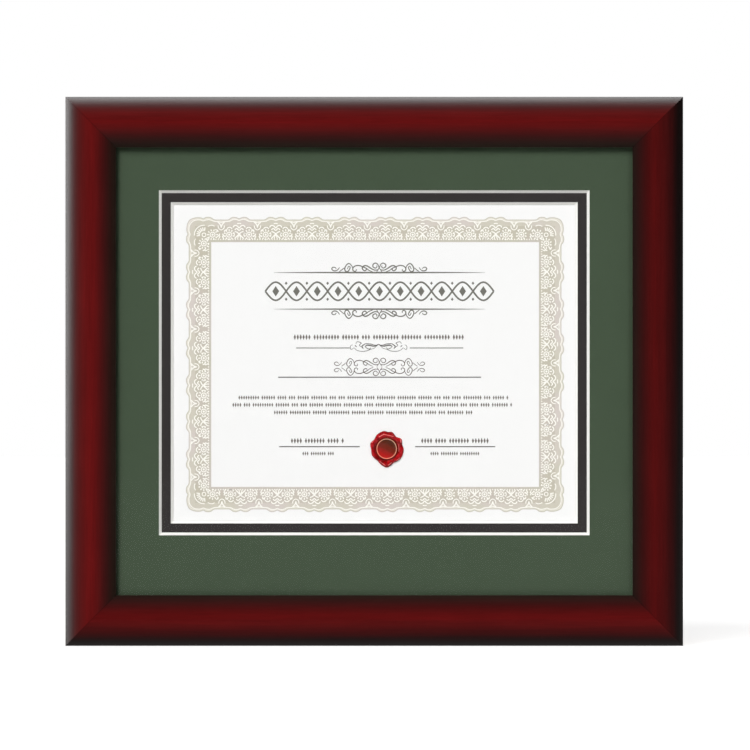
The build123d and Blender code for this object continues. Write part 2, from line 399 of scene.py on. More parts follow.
def board(name, face, lip_painted_shade=1.0):
    """Mat board: a coloured face paper over a white core, which shows on the bevel and edges. The
    face may carry a little painted shade beside the frame's lip."""
    shader = Shader(name)
    fibres = shader.noise(0.35 * mm, 4.0)
    cloud = shader.noise(14 * mm)
    front = shader.step(shader.maths("ABSOLUTE", shader.facing("Y")), 0.85, 0.93)
    colour = shader.vary(face, fibres, 0.90, 1.10)
    colour = shader.vary(colour, cloud, 0.97, 1.03)
    inset = shader.maths("MINIMUM", shader.inset("X", half_width), shader.inset("Z", half_height))
    # Painted shade: the face is darker up to the frame's lip and fades over sight_shade_width.
    past_lip = shader.step(inset, face_width, face_width + sight_shade_width)
    colour = shader.vary(colour, past_lip, lip_painted_shade, 1.0)
    core = shader.vary(white_core, fibres, 0.97, 1.0)
    colour = shader.mix(front, core, colour)
    return shader.finish(colour, 0.92, shader.bump(fibres, 0.012 * mm), IOR=matt_ior)


def paper(name, tint, depth=0.01):
    """Smooth uncoated paper with a faint cloudy tone."""
    shader = Shader(name)
    fibres = shader.noise(0.25 * mm, 4.0)
    cloud = shader.noise(9 * mm, 3.0)
    colour = shader.vary(tint, cloud, 0.985, 1.0)
    colour = shader.vary(colour, fibres, 0.985, 1.0)
    return shader.finish(colour, 0.85, shader.bump(fibres, depth * mm), IOR=matt_ior)


def ink(name, tint, second=None):
    """Printed ink that takes the paper's tooth, and may drift between two tints."""
    shader = Shader(name)
    tooth = shader.noise(0.3 * mm, 3.0)
    drift = shader.step(shader.noise(30 * mm), 0.38, 0.62)
    colour = shader.mix(drift, screen(*tint), screen(*(second or tint)))
    colour = shader.vary(colour, tooth, 0.95, 1.03)
    return shader.finish(colour, 0.8, shader.bump(tooth, 0.005 * mm), IOR=matt_ior)


def glass():
    """Low-reflection picture glass: clear, with a weak mirror image that grows at a slant."""
    shader = Shader("picture_glass")
    wave = shader.bump(shader.noise(60 * mm, 1.0), 0.01 * mm)
    fresnel = shader.add("ShaderNodeFresnel", {"IOR": matt_ior, "Normal": wave})
    back = shader.add("ShaderNodeNewGeometry", {}, "Backfacing")
    share = shader.maths("MULTIPLY", fresnel, shader.maths("SUBTRACT", 1.0, back))
    clear = shader.add("ShaderNodeBsdfTransparent", {"Color": (0.999, 1.0, 0.9995, 1)})
    mirror = shader.add("ShaderNodeBsdfGlossy", {"Roughness": 0.04, "Normal": wave})
    return shader.end_with(shader.add("ShaderNodeMixShader", {0: share, 1: clear, 2: mirror}))


def hardboard():
    """Brown pressed fibre, smooth and slightly shiny, with darker and lighter fibres."""
    shader = Shader("hardboard")
    fibres = shader.noise(0.7 * mm, 5.0, (3.0, 1.0, 1.0))
    crossed = shader.noise(0.6 * mm, 5.0, (1.0, 1.0, 3.0), 5.0)
    cloud = shader.noise(30 * mm, 3.0)
    both = shader.mean(fibres, crossed)
    colour = shader.ramp(both, ((0.30, screen(74, 49, 31)), (0.50, screen(122, 86, 56)),
                                (0.68, screen(158, 120, 84))))
    colour = shader.vary(colour, cloud, 0.86, 1.12)
    return shader.finish(colour, 0.62, shader.bump(both, 0.05 * mm), IOR=1.4)


def linen():
    """Woven tape."""
    shader = Shader("linen_tape")
    weave = shader.maths("MULTIPLY", shader.waves(0.5 * mm, "X"), shader.waves(0.5 * mm, "Z"))
    colour = shader.vary(screen(236, 231, 218), weave, 0.86, 1.0)
    return shader.finish(colour, 0.95, shader.bump(weave, 0.05 * mm), IOR=1.2)


def zinc():
    """Zinc plate: pale blue-grey, faintly blotched, with rolling lines."""
    shader = Shader("zinc_plate")
    lines = shader.noise(0.3 * mm, 2.0, (8.0, 1.0, 1.0))
    spangle = shader.part(shader.cells(2.2 * mm), "X")
    colour = shader.vary(screen(158, 162, 167), spangle, 0.80, 1.08)
    rough = shader.plus(0.32, spangle, 0.16)
    return shader.finish(colour, rough, shader.bump(lines, 0.01 * mm), Metallic=1.0)


def nickel():
    """Bright nickel plate with fine drawing lines."""
    shader = Shader("nickel_plate")
    lines = shader.noise(0.25 * mm)
    colour = shader.vary(screen(186, 181, 170), lines, 0.88, 1.06)
    rough = shader.plus(0.16, lines, 0.12)
    return shader.finish(colour, rough, shader.bump(lines, 0.004 * mm), Metallic=1.0)


def bare_steel():
    """Rolled steel with dark scale."""
    shader = Shader("bare_steel")
    scale = shader.noise(1.2 * mm, 4.0)
    colour = shader.ramp(scale, ((0.35, screen(96, 96, 98)), (0.62, screen(158, 157, 154))))
    return shader.finish(colour, 0.42, shader.bump(scale, 0.02 * mm), Metallic=1.0)


def rubber():
    """Matt dark rubber with a fine moulded grain."""
    shader = Shader("bumper_rubber")
    grain = shader.noise(0.3 * mm, 3.0)
    colour = shader.vary(screen(44, 43, 42), grain, 0.8, 1.2)
    return shader.finish(colour, 0.7, shader.bump(grain, 0.03 * mm), IOR=1.4)


def dress(material, *names):
    """Gives CAD nodes a material, in all their slots."""
    for name in names:
        mesh = nodes[name].data
        if not mesh.materials:
            mesh.materials.append(material)
        for index in range(len(mesh.materials)):
            mesh.materials[index] = material


def dress_frame():
    # level is painted shade: the right rail is painted darkest and the bottom darker than the top and
    # left, as the light falls from the upper left.
    for name, lengthwise, seed, level, inward in (
            ("rail_top", "X", 1.3, 0.96, 0.0), ("rail_left", "Z", 4.2, 1.02, 0.01),
            ("rail_bottom", "X", 6.9, 0.88, 0.053), ("rail_right", "Z", 9.4, 0.64, 0.053)):
        dress(mahogany(name + "_mahogany", lengthwise, seed, level, inward), name)
    # The green mat carries painted shade beside the lip.
    dress(board("green_mat_board", (0.0625, 0.090, 0.0565, 1), 0.80), "top_mat")
    dress(board("charcoal_mat_board", (0.0385, 0.0345, 0.0345, 1)), "bottom_mat")
    dress(paper("certificate_paper", (0.958, 0.953, 0.947, 1)), "certificate_sheet")
    dress(paper("pocket_paper", (0.80, 0.79, 0.75, 1)), "mounting_corners")
    dress(linen(), "hinge_tape")
    dress(paper("white_board", (0.86, 0.85, 0.82, 1), 0.03), "mount_board")
    dress(paper("grey_board", screen(176, 171, 160), 0.05), "filler_board")
    dress(hardboard(), "backing_board")
    buttons = [name for name in nodes if name.startswith("turn_button")]
    dress(zinc(), *buttons, "hanger_strap_left", "hanger_strap_right", "hanger_screws")
    dress(nickel(), "d_ring_left", "d_ring_right")
    dress(bare_steel(), "corner_v_nails")
    dress(rubber(), "wall_bumpers")


# Print on the certificate: thin closed plates just in front of the paper

ground_rise = 0.03 * mm
field_rise = 0.039 * mm
band_rise = 0.048 * mm
ink_rise = 0.06 * mm
rise_step = 0.002 * mm
rise_steps = 9
tip_roundness = 0.7
least_length = 1e-9


def to_the_left(line, closed):
    """For each place on a line, a step of length 1 square to it."""
    if closed:
        along = np.roll(line, -1, 0) - np.roll(line, 1, 0)
    else:
        along = np.vstack([line[1:], line[-1:]]) - np.vstack([line[:1], line[:-1]])
    along /= np.maximum(np.linalg.norm(along, axis=1), least_length)[:, None]
    return np.stack([-along[:, 1], along[:, 0]], 1)


class Print:
    """Collects strokes and plates of one ink, and makes one closed mesh of them."""

    def __init__(self, rise):
        self.points = []
        self.faces = []
        self.rise = rise
        self.laid = 0

    def front(self):
        """Where the next shape's front lies: shapes that may cross never share one plane."""
        self.laid += 1
        return sheet_front - self.rise - self.laid % rise_steps * rise_step

    def lay(self, places, front):
        """Puts the places of a shape down twice, on the paper and at its front."""
        first = len(self.points)
        for y in (sheet_front, front):
            self.points.extend((x * mm, y, z * mm) for x, z in places)
        return first

    def plate(self, outline):
        """A filled convex shape."""
        count = len(outline)
        first = self.lay(outline, self.front())
        self.faces.append([first + i for i in reversed(range(count))])
        self.faces.append([first + count + i for i in range(count)])
        for i in range(count):
            j = (i + 1) % count
            self.faces.append([first + i, first + j, first + count + j, first + count + i])

    def stroke(self, line, width, closed=False, tips=1.0):
        """A line of a width, which narrows to a share of it at its tips."""
        line = np.asarray(line, float)
        share = np.linspace(0, 1, len(line))
        swell = tips + (1 - tips) * np.sin(np.pi * share) ** tip_roundness
        across = to_the_left(line, closed) * (width / 2 * swell)[:, None]
        self.band(line + across, line - across, self.front(), closed)

    def band(self, left, right, front, closed):
        """A plate between two lines with as many places, on the left and right of one way."""
        count = len(left)
        first = self.lay(np.vstack([left, right]), front)
        back_left, back_right, front_left, front_right = (first + k * count for k in range(4))
        for i in range(count if closed else count - 1):
            j = (i + 1) % count
            self.faces.append([front_left + i, front_right + i, front_right + j, front_left + j])
            self.faces.append([back_left + j, back_right + j, back_right + i, back_left + i])
            self.faces.append([back_left + i, front_left + i, front_left + j, back_left + j])
            self.faces.append([back_right + j, front_right + j, front_right + i, back_right + i])
        if not closed:
            last = count - 1
            self.faces.append([back_left, back_right, front_right, front_left])
            self.faces.append([back_left + last, front_left + last, front_right + last,
                               back_right + last])

    def make(self, name, material):
        add_piece(name, self.points, self.faces, material)


def add_piece(name, points, faces, material):
    """A new piece of the frame's body."""
    piece = new_shape(name, points, faces, material)
    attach(piece, "frame")
    return piece


def through(places, steps=6):
    """A smooth line through places."""
    places = np.asarray(places, float)
    padded = np.vstack([2 * places[0] - places[1], places, 2 * places[-1] - places[-2]])
    line = []
    for before, start, end, after in zip(padded, padded[1:], padded[2:], padded[3:]):
        for t in np.arange(steps) / steps:
            line.append(0.5 * (2 * start + (end - before) * t
                               + (2 * before - 5 * start + 4 * end - after) * t ** 2
                               + (3 * start - before - 3 * end + after) * t ** 3))
    line.append(places[-1])
    return np.array(line)


def arc(centre, radius, start, end, steps):
    """Points on a circle, between two angles in degrees."""
    angles = np.radians(np.linspace(start, end, steps + 1))
    return np.stack([centre[0] + radius * np.cos(angles), centre[1] + radius * np.sin(angles)], 1)


# Border of lacework. On a side, u runs clockwise from its middle and t outwards from its straight
# inner edge, in units of the lace. d runs inwards from the outer edge and e back from the side's
# end, in tables of (u, d) for modules' edges and of (e, d) for corners. module_places gives the
# middles of modules from the start of the top, right, lower and left side.

unit = 0.593
border_middle = (0.5, 4.05)
border_half = (189.2, 147.7)
border_depth = 25.0
module_half = 18.35
least_step = 1.0
corner_reach = 35.7
module_places = (
    (53.2, 89.8, 126.1, 163.2, 199.6, 236.8, 273.4, 309.9),
    (55.0, 92.4, 127.5, 164.7, 202.8, 240.3),
    (53.2, 89.7, 139.5, 176.9, 213.6, 250.0, 287.0, 323.8),
    (52.7, 90.6, 126.7, 164.0, 202.4, 240.1),
)

module_edge = ((0, 1.5), (1.6, 0.8), (4.0, 0.1), (6.4, 0.1), (8.4, 0.9), (10.4, 2.3), (12.4, 2.75),
               (18.35, 2.7))
corner_edge = ((29.5, 2.7), (27.2, 1.9), (25.2, 0.5), (22.6, 0.0), (19.6, 0.3), (17.4, 1.5),
               (15.2, 0.7), (12.0, 0.4), (8.4, 0.8), (5.4, 1.8), (3.2, 3.2))
module_band = ((0, 21.3), (1.8, 22.0), (4.4, 22.5), (7.0, 21.9), (9.6, 20.6), (12.6, 20.4),
               (15.6, 20.1), (18.35, 19.0))
corner_band = ((35.7, 6.0), (33.0, 4.9), (29.4, 4.7), (26.8, 4.0), (23.6, 2.9), (20.2, 3.2),
               (17.4, 4.1), (14.6, 3.2), (11.6, 3.1), (8.4, 3.7), (5.6, 5.6))

module_lace = (
    ([(0, 18.5), (2.0, 18.2)], 1.0),
    ([(0, 13.8), (1.4, 15.4), (3.2, 16.4), (5.0, 16.0), (6.2, 14.4)], 1.15),
    ([(0, 11.4), (2.4, 13.4), (4.4, 12.0)], 1.15),
    ([(0, 8.2), (2.1, 9.6), (4.4, 10.4)], 1.15),
    ([(0, 7.4), (2.2, 5.6), (4.6, 3.2)], 1.25),
    ([(0, 7.2), (1.1, 4.8), (1.6, 2.4)], 1.0),
    ([(7.0, 13.0), (8.6, 14.4), (10.6, 14.4), (12.2, 13.0)], 1.15),
    ([(5.4, 9.6), (4.7, 7.4), (5.2, 5.4)], 1.0),
    ([(15.2, 2.2), (16.4, 4.8)], 1.1),
    ([(16.6, 8.2), (15.9, 6.8), (16.3, 5.4)], 1.2),
    ([(15.0, 10.0), (14.3, 11.4)], 1.3),
)
corner_lace = (
    ([(28.6, 9.4), (26.6, 8.4), (24.0, 8.6), (21.8, 9.6)], 0.9),
    ([(21.4, 20.6), (20.6, 22.8), (22.8, 22.8)], 1.0),
    ([(33.9, 16.8), (33.2, 18.2), (33.6, 19.6)], 1.2),
    ([(32.3, 15.0), (31.6, 13.6)], 1.3),
)
gap_arch = ((0, 20.0), (3.4, 19.8), (6.8, 19.0))
gap_least = 8
line_width, cup_width, petal_width = 0.8, 0.95, 1.15
field_depth = 14.4
field_edge = 1.4
band_inset, band_width = 1.7, 1.5
rim_inset, rim_width = 0.4, 0.75
inner_rule_out, inner_rule_width = 0.5, 1.45
rosette_from_middle = 10.0
rosette_height = 7.2
rosette_dot, rosette_ring, rosette_petal = 1.2, 2.5, (3.6, 5.5)
rosette_ring_width, rosette_petal_width = 1.05, 1.25
rosette_petals = 10
end_root_height = 8.2
end_fan_angles = (34, 60)
end_fan_reach = (3.0, 5.8)
corner_rosette = (26.6, 17.8)
corner_root = (corner_reach, 16.8)
joint_height = 10.2
joint_arm = ((0.0, 14.2), (0.9, 17.3), (3.4, 19.9))
joint_fan_angles = (20, 160)
joint_fan_reach = (3.6, 6.4)
joint_cup = ((0, 11.9), (2.6, 13.6), (3.2, 16.4))
joint_merge = 3.0
bead_height, bead_half, bead_pitch = 2.5, 0.8, 2.45
corner_heart = 18.0
heart_arc, heart_ring = 9.6, 1.9
heart_fan_angles = np.linspace(-8, 98, 7)
heart_fan_reach = (4.0, 7.6)


class Side:
    """One side of the border, which turns its own places into places on the certificate."""

    def __init__(self, index):
        self.index = index
        across = index % 2
        self.half = border_half[across]
        self.out = border_half[1 - across] - border_depth
        self.modules = [place - self.half for place in module_places[index]]

    def line(self, places):
        """Places on the certificate for places (u, t) on this side."""
        x, z = np.array(places, float).T
        z = z + self.out
        for _ in range(self.index):
            x, z = z, -x
        return np.stack([border_middle[0] + x * unit, border_middle[1] + z * unit], 1)

    def corner(self, table):
        """Both wings of a corner table, round the corner at this side's end."""
        wing = [(self.half - e, border_depth - d) for e, d in table]
        other = [(self.half - d, border_depth - e) for e, d in reversed(table[:-1])]
        return wing + other


sides = [Side(index) for index in range(4)]


def both_ways(table):
    """A table of places from a middle outwards, extended to both sides of it."""
    return [(-u, t) for u, t in reversed(table[1:])] + list(table)


def border_outline(inset):
    """The whole scalloped outline, clockwise from the top left, inset from the outer edge."""
    outline = []
    for side in sides:
        places = []
        for middle in side.modules:
            for u, d in both_ways(module_edge):
                if not places or middle + u > places[-1][0] + least_step:
                    places.append((middle + u, border_depth - d))
        places.extend(side.corner(corner_edge))
        outline.extend(side.line(places))
    outline = through([outline[-1], *outline, *outline[:2]], 3)[3:-4]
    return outline - to_the_left(outline, True) * inset * unit


def inner_corners(outwards):
    """The corners of a rectangle so far outside the border's straight inner edge, clockwise."""
    reach = (np.array(border_half) - border_depth + outwards) * unit
    return np.array([(-1, 1), (1, 1), (1, -1), (-1, -1)]) * reach + np.array(border_middle)


def frame_in(target, outwards, width, shift=0.0):
    """Four straight strokes round the inner edge, each pushed on along its way by a shift."""
    corners = inner_corners(outwards)
    for start, end in zip(corners, np.roll(corners, -1, 0)):
        way = (end - start) / np.linalg.norm(end - start) * shift * unit
        target.stroke([start + way, end + way], width * unit)


def add_ground(ground):
    """A flat plate between the scalloped outline and the nearest places on the inner edge."""
    outer = border_outline(0.0)
    inner = np.clip(outer, inner_corners(0.0).min(0), inner_corners(0.0).max(0))
    ground.band(outer, inner, sheet_front - ground.rise, True)


def rosette(lace, side, centre):
    """A dot, a ring and petals round it."""
    centre = np.array(centre)
    lace.plate(side.line(centre + arc((0, 0), rosette_dot, 0, 300, 5)))
    ring = centre + arc((0, 0), rosette_ring, 0, 330, 11)
    lace.stroke(side.line(ring), rosette_ring_width * unit, True)
    for k in range(rosette_petals):
        angle = math.tau * (k + 0.5) / rosette_petals
        direction = np.array([math.cos(angle), math.sin(angle)])
        petal = [centre + direction * radius for radius in rosette_petal]
        lace.stroke(side.line(petal), rosette_petal_width * unit)


def fan(lace, side, root, angles, near, far, width=petal_width):
    """Short strokes that spread from a root."""
    for angle in np.radians(angles):
        direction = np.array([math.cos(angle), math.sin(angle)])
        line = [np.array(root) + direction * near, np.array(root) + direction * far]
        lace.stroke(side.line(line), width * unit)


def curve(lace, side, table, width, middle=0.0, sign=1):
    """A smooth stroke through a table's places, measured from a middle towards one side."""
    places = side.line([(middle + sign * u, t) for u, t in table])
    lace.stroke(through(places, 4), width * unit)


def lace_module(lace, side, middle):
    """Petals over a cross, two rosettes, and fans at the module's ends."""
    for table, width in module_lace:
        if table[0][0] == 0:
            curve(lace, side, both_ways(table), width, middle)
        else:
            for sign in (-1, 1):
                curve(lace, side, table, width, middle, sign)
    for sign in (-1, 1):
        rosette(lace, side, (middle + sign * rosette_from_middle, rosette_height))
        root = (middle + sign * module_half, end_root_height)
        inward = [90 + sign * (90 + angle) for angle in end_fan_angles]
        fan(lace, side, root, inward, *end_fan_reach)


def lace_corner(lace, side):
    """The corner at a side's end, the same on both sides of its diagonal."""
    def at(e, d):
        return (side.half - e, border_depth - d)

    for places, width in corner_lace:
        for wing in (places, [(d, e) for e, d in places]):
            curve(lace, side, [at(e, d) for e, d in wing], width)
    heart = at(corner_heart, corner_heart)
    lace.stroke(side.line(arc(heart, heart_arc, -4, 94, 16)), unit)
    fan(lace, side, heart, heart_fan_angles, *heart_fan_reach)
    lace.stroke(side.line(arc(heart, heart_ring, 0, 330, 11)), cup_width * unit, True)
    for order, start in ((1, 0), (-1, 90)):
        rosette(lace, side, at(*corner_rosette[::order]))
        angles = [start - order * angle for angle in end_fan_angles]
        fan(lace, side, at(*corner_root[::order]), angles, *end_fan_reach, cup_width)


def joints(side):
    """Where modules end along a side. Two ends that lie close together share one joint."""
    ends = [middle + sign * module_half for middle in side.modules for sign in (-1, 1)]
    ends += [corner_reach - side.half, side.half - corner_reach]
    kept = []
    for end in sorted(ends):
        if kept and end - kept[-1] < joint_merge:
            kept[-1] = (kept[-1] + end) / 2
        else:
            kept.append(end)
    return kept


def gap_places(side):
    """The middles of the gaps between modules that stand further apart than their length."""
    edges = side.modules + [side.half - corner_reach + module_half]
    return [(here + following) / 2 for here, following in zip(edges, edges[1:])
            if following - here > 2 * module_half + gap_least]


def add_border():
    ground = Print(ground_rise)
    add_ground(ground)
    ground.make("certificate_border_ground", ink("border_tan_ink", (216, 207, 200), (211, 206, 191)))

    band = Print(band_rise)
    band.stroke(border_outline(band_inset), band_width * unit, True)
    band.make("certificate_border_band", ink("border_pale_ink", (236, 230, 223), (233, 229, 217)))

    shade = Print(field_rise)
    frame_in(shade, field_edge + field_depth / 2, field_depth, field_depth / 2)
    shade.make("certificate_border_field", ink("border_field_ink", (205, 196, 186), (200, 194, 177)))

    rim = Print(ink_rise)
    rim.stroke(border_outline(rim_inset), rim_width * unit, True)
    frame_in(rim, inner_rule_out, inner_rule_width)
    rim.make("certificate_border_rims", ink("border_line_ink", (207, 199, 192), (203, 199, 184)))

    lace = Print(ink_rise)
    for side in sides:
        for middle in side.modules:
            curve(lace, side, both_ways(module_band), line_width, middle)
            lace_module(lace, side, middle)
        for end in joints(side):
            fan(lace, side, (end, joint_height), joint_fan_angles, *joint_fan_reach)
            curve(lace, side, both_ways(joint_cup), cup_width, end)
            for sign in (-1, 1):
                curve(lace, side, joint_arm, petal_width, end, sign)
        span = side.half - border_depth - bead_pitch
        for u in np.linspace(-span, span, round(2 * span / bead_pitch) + 1):
            lace.plate(side.line([(u - bead_half, bead_height), (u, bead_height - bead_half),
                                  (u + bead_half, bead_height), (u, bead_height + bead_half)]))
        curve(lace, side, side.corner(corner_band), line_width)
        lace_corner(lace, side)
        for middle in gap_places(side):
            rosette(lace, side, (middle, rosette_height))
            curve(lace, side, both_ways(gap_arch), line_width, middle)
    lace.make("certificate_border_lace", ink("border_cream_ink", (255, 253, 246)))


# Rules, scrolls and rows of beads inside the border

title_ends = (-64.6, 70.9)
title_height, title_half_tall = 47.5, 6.6
title_eyes, steps_in_eye = 11, 12
strand_swing, tie_swing = 0.82, 0.72
eye_lozenge, tie_lozenge = (2.0, 3.1), (0.8, 1.0)
title_rule_ends = (-59.6, 65.8)
title_rule_width, title_rule_tips = 0.92, 0.12
title_rules = ((58.6, (3.0, 58.7), 1), (36.9, (3.0, 36.7), -1))
bead_rows = (
    (-47.1, 54.3, 20.3, 3.6), (-80.0, 80.1, -15.6, 2.9), (-83.6, 83.1, -19.9, 2.9),
    (-59.0, 58.8, -24.4, 2.9), (-48.8, -16.4, -41.2, 3.6), (-42.1, -23.6, -48.8, 2.7),
    (28.5, 68.0, -41.2, 3.6), (33.8, 62.4, -48.8, 2.7),
)
row_pitch, row_half_wide, row_end, row_gap = 0.48, 0.19, 0.2, 0.8
row_tallness = (0.86, 1.0)
row_group = (3, 9)
rules = (
    (-46.3, -14.5, 13.85, 0.5), (21.1, 52.8, 13.85, 0.5), (-57.0, 63.4, -3.5, 0.62),
    (-56.4, -8.6, -44.7, 0.6), (24.3, 71.8, -44.7, 0.6),
)
wings_centre = (2.6, 13.85)
name_centre = (3.1, 2.6)
title_size, name_size = 1.0, 0.95
scroll_half = (
    ([(-1.6, 0.2), (0.0, 2.8), (0.9, 4.7), (2.1, 5.5), (3.4, 5.0), (3.9, 3.9), (3.3, 2.9),
      (2.1, 2.6), (1.4, 3.3), (1.6, 4.1)], 0.50),
    ([(0.3, 2.2), (1.1, 1.5), (2.9, 1.4), (4.8, 2.3), (7.0, 3.7), (8.6, 4.0), (10.0, 3.0),
      (9.8, 1.7), (8.6, 1.0), (7.7, 1.5), (8.0, 2.2)], 0.55),
    ([(3.9, 0.3), (6.1, 1.2), (7.9, 2.5), (9.8, 3.3), (12.0, 4.1), (14.3, 3.8), (15.6, 2.6),
      (15.6, 1.2), (14.5, 0.6), (13.6, 1.2), (13.8, 2.0)], 0.50),
    ([(15.7, 1.7), (16.1, 3.5), (17.4, 5.0), (18.5, 5.2), (19.7, 4.1), (20.5, 2.2), (20.0, 0.7),
      (18.8, 0.5), (17.8, 1.6), (17.3, 3.0), (18.2, 3.5), (19.0, 1.9)], 0.50),
    ([(20.9, 2.7), (22.2, 1.5), (23.8, 0.4)], 0.40),
    ([(23.6, 3.0), (24.5, 1.7), (25.6, 1.0), (27.1, 1.0), (28.2, 2.0), (27.5, 3.0), (26.2, 2.9),
      (25.5, 2.0)], 0.45),
)
wing_half = (
    ([(0.0, 3.8), (1.2, 3.0), (2.3, 1.8)], 1.2),
    ([(1.1, 2.9), (4.5, 2.9), (8.0, 4.0), (12.9, 4.2), (14.7, 3.6)], 1.0),
    ([(1.3, 2.4), (4.9, 1.8), (8.9, 2.6), (11.6, 2.7), (13.8, 1.3)], 1.5),
    ([(7.6, 0.4), (9.4, -1.1), (12.1, 0.0), (13.4, 1.3)], 0.9),
    ([(2.2, 1.8), (4.5, -0.3), (8.0, -1.3), (11.2, -2.7), (14.7, -3.3), (18.3, -3.3), (21.9, -2.2),
      (24.1, -0.2), (25.0, 0.2)], 0.75),
    ([(25.0, 0.0), (26.8, -1.3), (28.3, -0.7), (27.9, 2.2), (25.9, 3.3)], 0.7),
    ([(15.2, -0.9), (17.0, 0.9), (19.2, 2.7), (17.9, 4.2), (17.4, 4.9), (19.6, 6.0), (21.9, 6.0),
      (22.8, 4.0)], 0.85),
    ([(13.8, 3.8), (16.5, 1.8), (15.4, -0.7)], 1.4),
    ([(21.9, 0.9), (23.7, 2.7)], 1.1),
)
title_weight, name_weight, wing_weight = 1.35, 0.88, 0.8 * unit
scroll_tips, wing_tips = 0.55, 0.5


def add_mirrored(target, half, centre, size, upward, weight, tips):
    """An ornament drawn from its right half. Upward is 1, or -1 to hang it upside down."""
    for places, width in half:
        for sign in (-1, 1):
            line = through(places) * np.array([sign * size, upward * size])
            target.stroke(line + np.array(centre), width * weight, False, tips)


def add_rule(target, start, end, height, width, tips=1.0):
    """A straight rule, which narrows to a share of its width at its ends."""
    target.stroke(through([(start, height), (end, height)], 24), width, False, tips)


def add_beads(target, start, end, height, size, draw):
    """A row of narrow lozenges in groups."""
    pitch, wide = size * row_pitch, size * row_half_wide
    x = start
    left = draw.randint(*row_group)
    while x < end - size * row_end:
        tall = size / 2 * draw.uniform(*row_tallness)
        add_lozenge(target, x, height, wide, tall)
        left -= 1
        x += pitch
        if left == 0:
            x += pitch * row_gap
            left = draw.randint(*row_group)


def add_lozenge(target, x, z, wide, tall):
    """A lozenge, wide and tall from its middle."""
    target.plate([(x - wide, z), (x, z - tall), (x + wide, z), (x, z + tall)])


def add_title_band(target):
    """A braid of two strands, with a lozenge in each eye and two small ones at each crossing."""
    low, high = title_ends
    x = np.linspace(low, high, title_eyes * steps_in_eye + 1)
    swing = np.sin(np.pi * title_eyes * (x - low) / (high - low)) * title_half_tall
    for sign in (-1, 1):
        target.stroke(np.stack([x, title_height + sign * swing * strand_swing], 1), 1.0)
    eye = (high - low) / title_eyes
    for k in range(title_eyes):
        add_lozenge(target, low + eye * (k + 0.5), title_height, *eye_lozenge)
    for k in range(1, title_eyes):
        for sign in (-1, 1):
            height = title_height + sign * title_half_tall * tie_swing
            add_lozenge(target, low + eye * k, height, *tie_lozenge)


def add_print():
    """The border, a braid between scrolls, rows of beads, rules with wings, and a scroll."""
    add_border()

    title = Print(ink_rise)
    add_title_band(title)
    for height, centre, upward in title_rules:
        add_rule(title, *title_rule_ends, height, title_rule_width, title_rule_tips)
        add_mirrored(title, scroll_half, centre, title_size, upward, title_weight, scroll_tips)
    title.make("certificate_title_ornament", ink("grey_ink", (118, 117, 110)))

    lines = Print(ink_rise)
    draw = random.Random(11)
    for start, end, height, size in bead_rows:
        add_beads(lines, start, end, height, size, draw)
    lines.make("certificate_line_beads", ink("line_ink", (122, 117, 112)))

    ruled = Print(ink_rise)
    for start, end, height, width in rules:
        add_rule(ruled, start, end, height, width)
    add_mirrored(ruled, wing_half, wings_centre, unit, 1, wing_weight, wing_tips)
    ruled.make("certificate_rules", ink("rule_ink", (104, 102, 98)))

    name = Print(ink_rise)
    for upward in (1, -1):
        add_mirrored(name, scroll_half, name_centre, name_size, upward, name_weight, scroll_tips)
    name.make("certificate_name_ornament", ink("sepia_ink", (90, 78, 70)))


# Glazing

pane_clearance = 0.05 * mm
pane_arris = 0.4 * mm


def add_pane():
    """The glass with its arrises taken off, a hair clear of the lip and of the mat."""
    low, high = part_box("glazing")
    back, front = high.y - pane_clearance, low.y + pane_clearance
    points = []
    for y, inset in ((back, pane_arris), (back - pane_arris, 0.0), (front + pane_arris, 0.0),
                     (front, pane_arris)):
        left, right, foot, top = low.x + inset, high.x - inset, low.z + inset, high.z - inset
        points.extend([(left, y, foot), (right, y, foot), (right, y, top), (left, y, top)])
    faces = [[3, 2, 1, 0], [12, 13, 14, 15]]
    for ring in range(3):
        for k in range(4):
            here, following = 4 * ring + k, 4 * ring + (k + 1) % 4
            faces.append([here, following, following + 4, here + 4])
    pane = add_piece("glazing_pane", points, faces, glass())
    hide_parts("glazing")


# Wax seal

seal_centre = (7.4, -45.95)
seal_lobes = (
    (0.000, 0.95), (0.042, 0.88), (0.090, 1.00), (0.142, 0.83), (0.205, 0.99), (0.233, 0.92),
    (0.272, 1.00), (0.350, 0.95), (0.400, 0.85), (0.450, 0.97), (0.506, 0.86), (0.567, 0.90),
    (0.645, 0.83), (0.715, 0.98), (0.750, 1.05), (0.783, 0.97), (0.822, 0.85), (0.900, 0.95),
)
seal_reach = 10.75
seal_sectors = 180
seal_softness = 0.012
seal_mean_share, seal_lobe_swell = 0.92, 0.6
seal_folds = ((0.13, 9, 5), (0.06, 17, -3))
seal_middle_height = 0.70
seal_most_height = 1.59
seal_die = (
    (1.5, 0.70), (3.0, 0.72), (4.4, 0.78), (5.15, 0.86), (5.35, 0.95), (5.5, 1.13),
    (5.8, 1.20), (6.1, 1.13), (6.25, 0.92), (6.5, 0.72), (7.0, 0.78), (7.4, 1.02),
)
seal_roll = (
    (0.16, 1.26), (0.32, 1.43), (0.46, 1.50), (0.58, 1.48), (0.70, 1.36), (0.80, 1.16),
    (0.88, 0.90), (0.95, 0.58), (0.99, 0.28), (1.00, 0.0),
)
# How far the painted light on the seal's middle and rim reaches on each side of its middle line.
seal_painted_light_reach = 6.0 * mm
seal_rim_inside, seal_rim_outside = (0.508, 0.522), (0.552, 0.566)
seal_groove = (0.585, 0.72)
# Painted highlights on the folds: from a turn in degrees and a share of the reach, to another turn
# and share, with a width as a share of the reach.
seal_shines = (
    (122, 0.78, 100, 0.82, 0.040), (102, 0.82, 62, 0.77, 0.026), (242, 0.79, 265, 0.93, 0.028),
    (276, 0.91, 289, 0.81, 0.034), (310, 0.85, 325, 0.89, 0.030), (34, 0.92, 24, 0.87, 0.034),
    (4, 0.93, 353, 0.93, 0.020), (158, 0.92, 154, 0.87, 0.030), (20, 0.71, 348, 0.69, 0.012),
)


